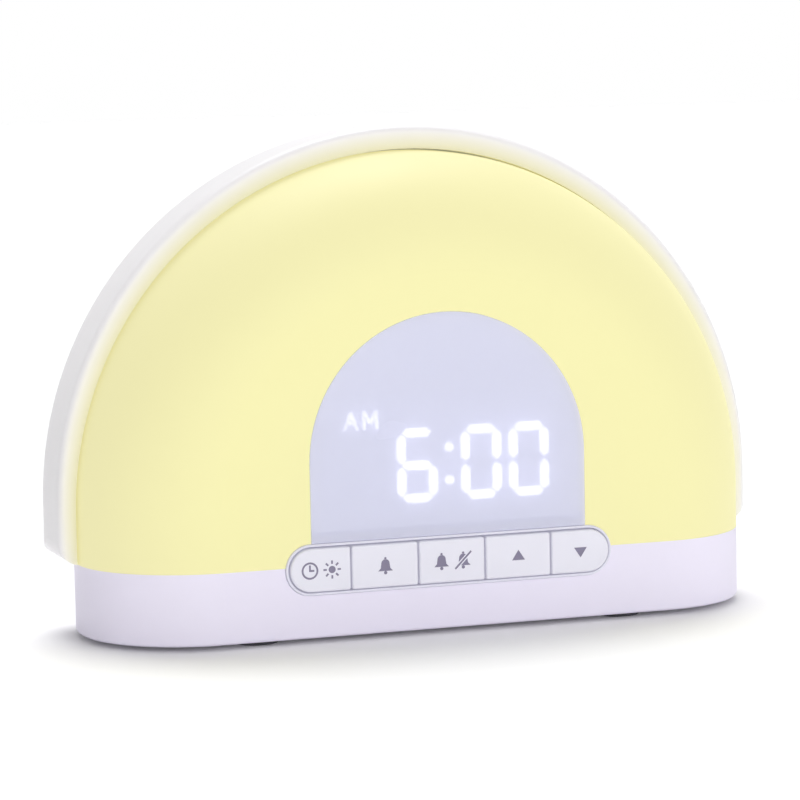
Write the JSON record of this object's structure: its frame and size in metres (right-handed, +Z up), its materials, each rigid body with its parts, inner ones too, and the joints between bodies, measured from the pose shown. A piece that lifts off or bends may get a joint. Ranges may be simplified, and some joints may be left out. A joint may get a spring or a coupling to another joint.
{
  "type": "sunrise alarm clock",
  "caption": "Half-round sunrise alarm clock with a lit diffuser dome, an arched display window and a front row of push keys on a low base.",
  "frame": {"origin": "on the surface it stands on, below the middle of the base", "axes": "+X to the right as seen from the front, +Y to the back, +Z up"},
  "size_m": [0.1692, 0.0552, 0.1146],
  "materials": {
    "case_plastic": "fine satin",
    "bezel_plastic": "satin",
    "diffuser_plastic": "frosted, lit warm yellow from inside",
    "lens_plastic": "satin translucent",
    "shroud_plastic": "matte",
    "display_plastic": "matte",
    "lit_bar": "lit white",
    "unlit_bar": "matte",
    "board": "solder mask",
    "led": "clear dome",
    "steel": "zinc plated",
    "contact": "plated",
    "black_plastic": "matte",
    "can_sleeve": "shrink sleeve",
    "socket_plastic": "matte",
    "cable": "matte",
    "foot_rubber": "matte",
    "key_plastic": "fine satin",
    "plunger_plastic": "matte"
  },
  "bodies": {
    "case": {"base_screws": "steel", "base_shell": "case_plastic", "bottom_plate": "case_plastic", "buzzer": "black_plastic", "cable_sockets": "socket_plastic", "capacitors": "can_sleeve", "cell_clip": "contact", "cell_leaf": "contact", "chips": "black_plastic", "coin_cell": "steel", "colon_dots": "lit_bar", "crystal_can": "steel", "dc_inlet": "black_plastic", "dc_inlet_pin": "steel", "diffuser": "diffuser_plastic", "display_block": "display_plastic", "display_board": "board", "display_lens": "lens_plastic", "display_ribbon": "cable", "display_screws": "steel", "display_shroud": "shroud_plastic", "dome_screws": "steel", "key_bezel": "bezel_plastic", "key_board": "board", "key_board_screws": "steel", "key_ribbon": "cable", "key_switches": "black_plastic", "light_board": "board", "light_board_screws": "steel", "light_leds": "led", "light_wires": "cable", "lit_segments": "lit_bar", "main_board": "board", "main_board_screws": "steel", "rear_housing": "case_plastic", "rubber_feet": "foot_rubber", "shell_screws": "steel", "time_marker": "lit_bar", "unlit_segments": "unlit_bar"},
    "key_time_body": {"key_time": "key_plastic", "plunger_time": "plunger_plastic"},
    "key_alarm_body": {"key_alarm": "key_plastic", "plunger_alarm": "plunger_plastic"},
    "key_alarm_switch_body": {"key_alarm_switch": "key_plastic", "plunger_alarm_switch": "plunger_plastic"},
    "key_up_body": {"key_up": "key_plastic", "plunger_up": "plunger_plastic"},
    "key_down_body": {"key_down": "key_plastic", "plunger_down": "plunger_plastic"},
    "battery_door_body": {"battery_door": "case_plastic"}
  },
  "joints": [
    {"name": "key_time_press", "type": "slide", "parent": "case", "child": "key_time_body", "axis": [0, 1, 0], "range_m": [0, 0.0008], "stiffness_N_per_m": 2500, "springref_m": -0.0002},
    {"name": "key_alarm_press", "type": "slide", "parent": "case", "child": "key_alarm_body", "axis": [0, 1, 0], "range_m": [0, 0.0008], "stiffness_N_per_m": 2500, "springref_m": -0.0002},
    {"name": "key_alarm_switch_press", "type": "slide", "parent": "case", "child": "key_alarm_switch_body", "axis": [0, 1, 0], "range_m": [0, 0.0008], "stiffness_N_per_m": 2500, "springref_m": -0.0002},
    {"name": "key_up_press", "type": "slide", "parent": "case", "child": "key_up_body", "axis": [0, 1, 0], "range_m": [0, 0.0008], "stiffness_N_per_m": 2500, "springref_m": -0.0002},
    {"name": "key_down_press", "type": "slide", "parent": "case", "child": "key_down_body", "axis": [0, 1, 0], "range_m": [0, 0.0008], "stiffness_N_per_m": 2500, "springref_m": -0.0002},
    {"name": "battery_door_slide", "type": "slide", "parent": "case", "child": "battery_door_body", "axis": [0, 1, 0], "range_m": [0, 0.024]}
  ]
}
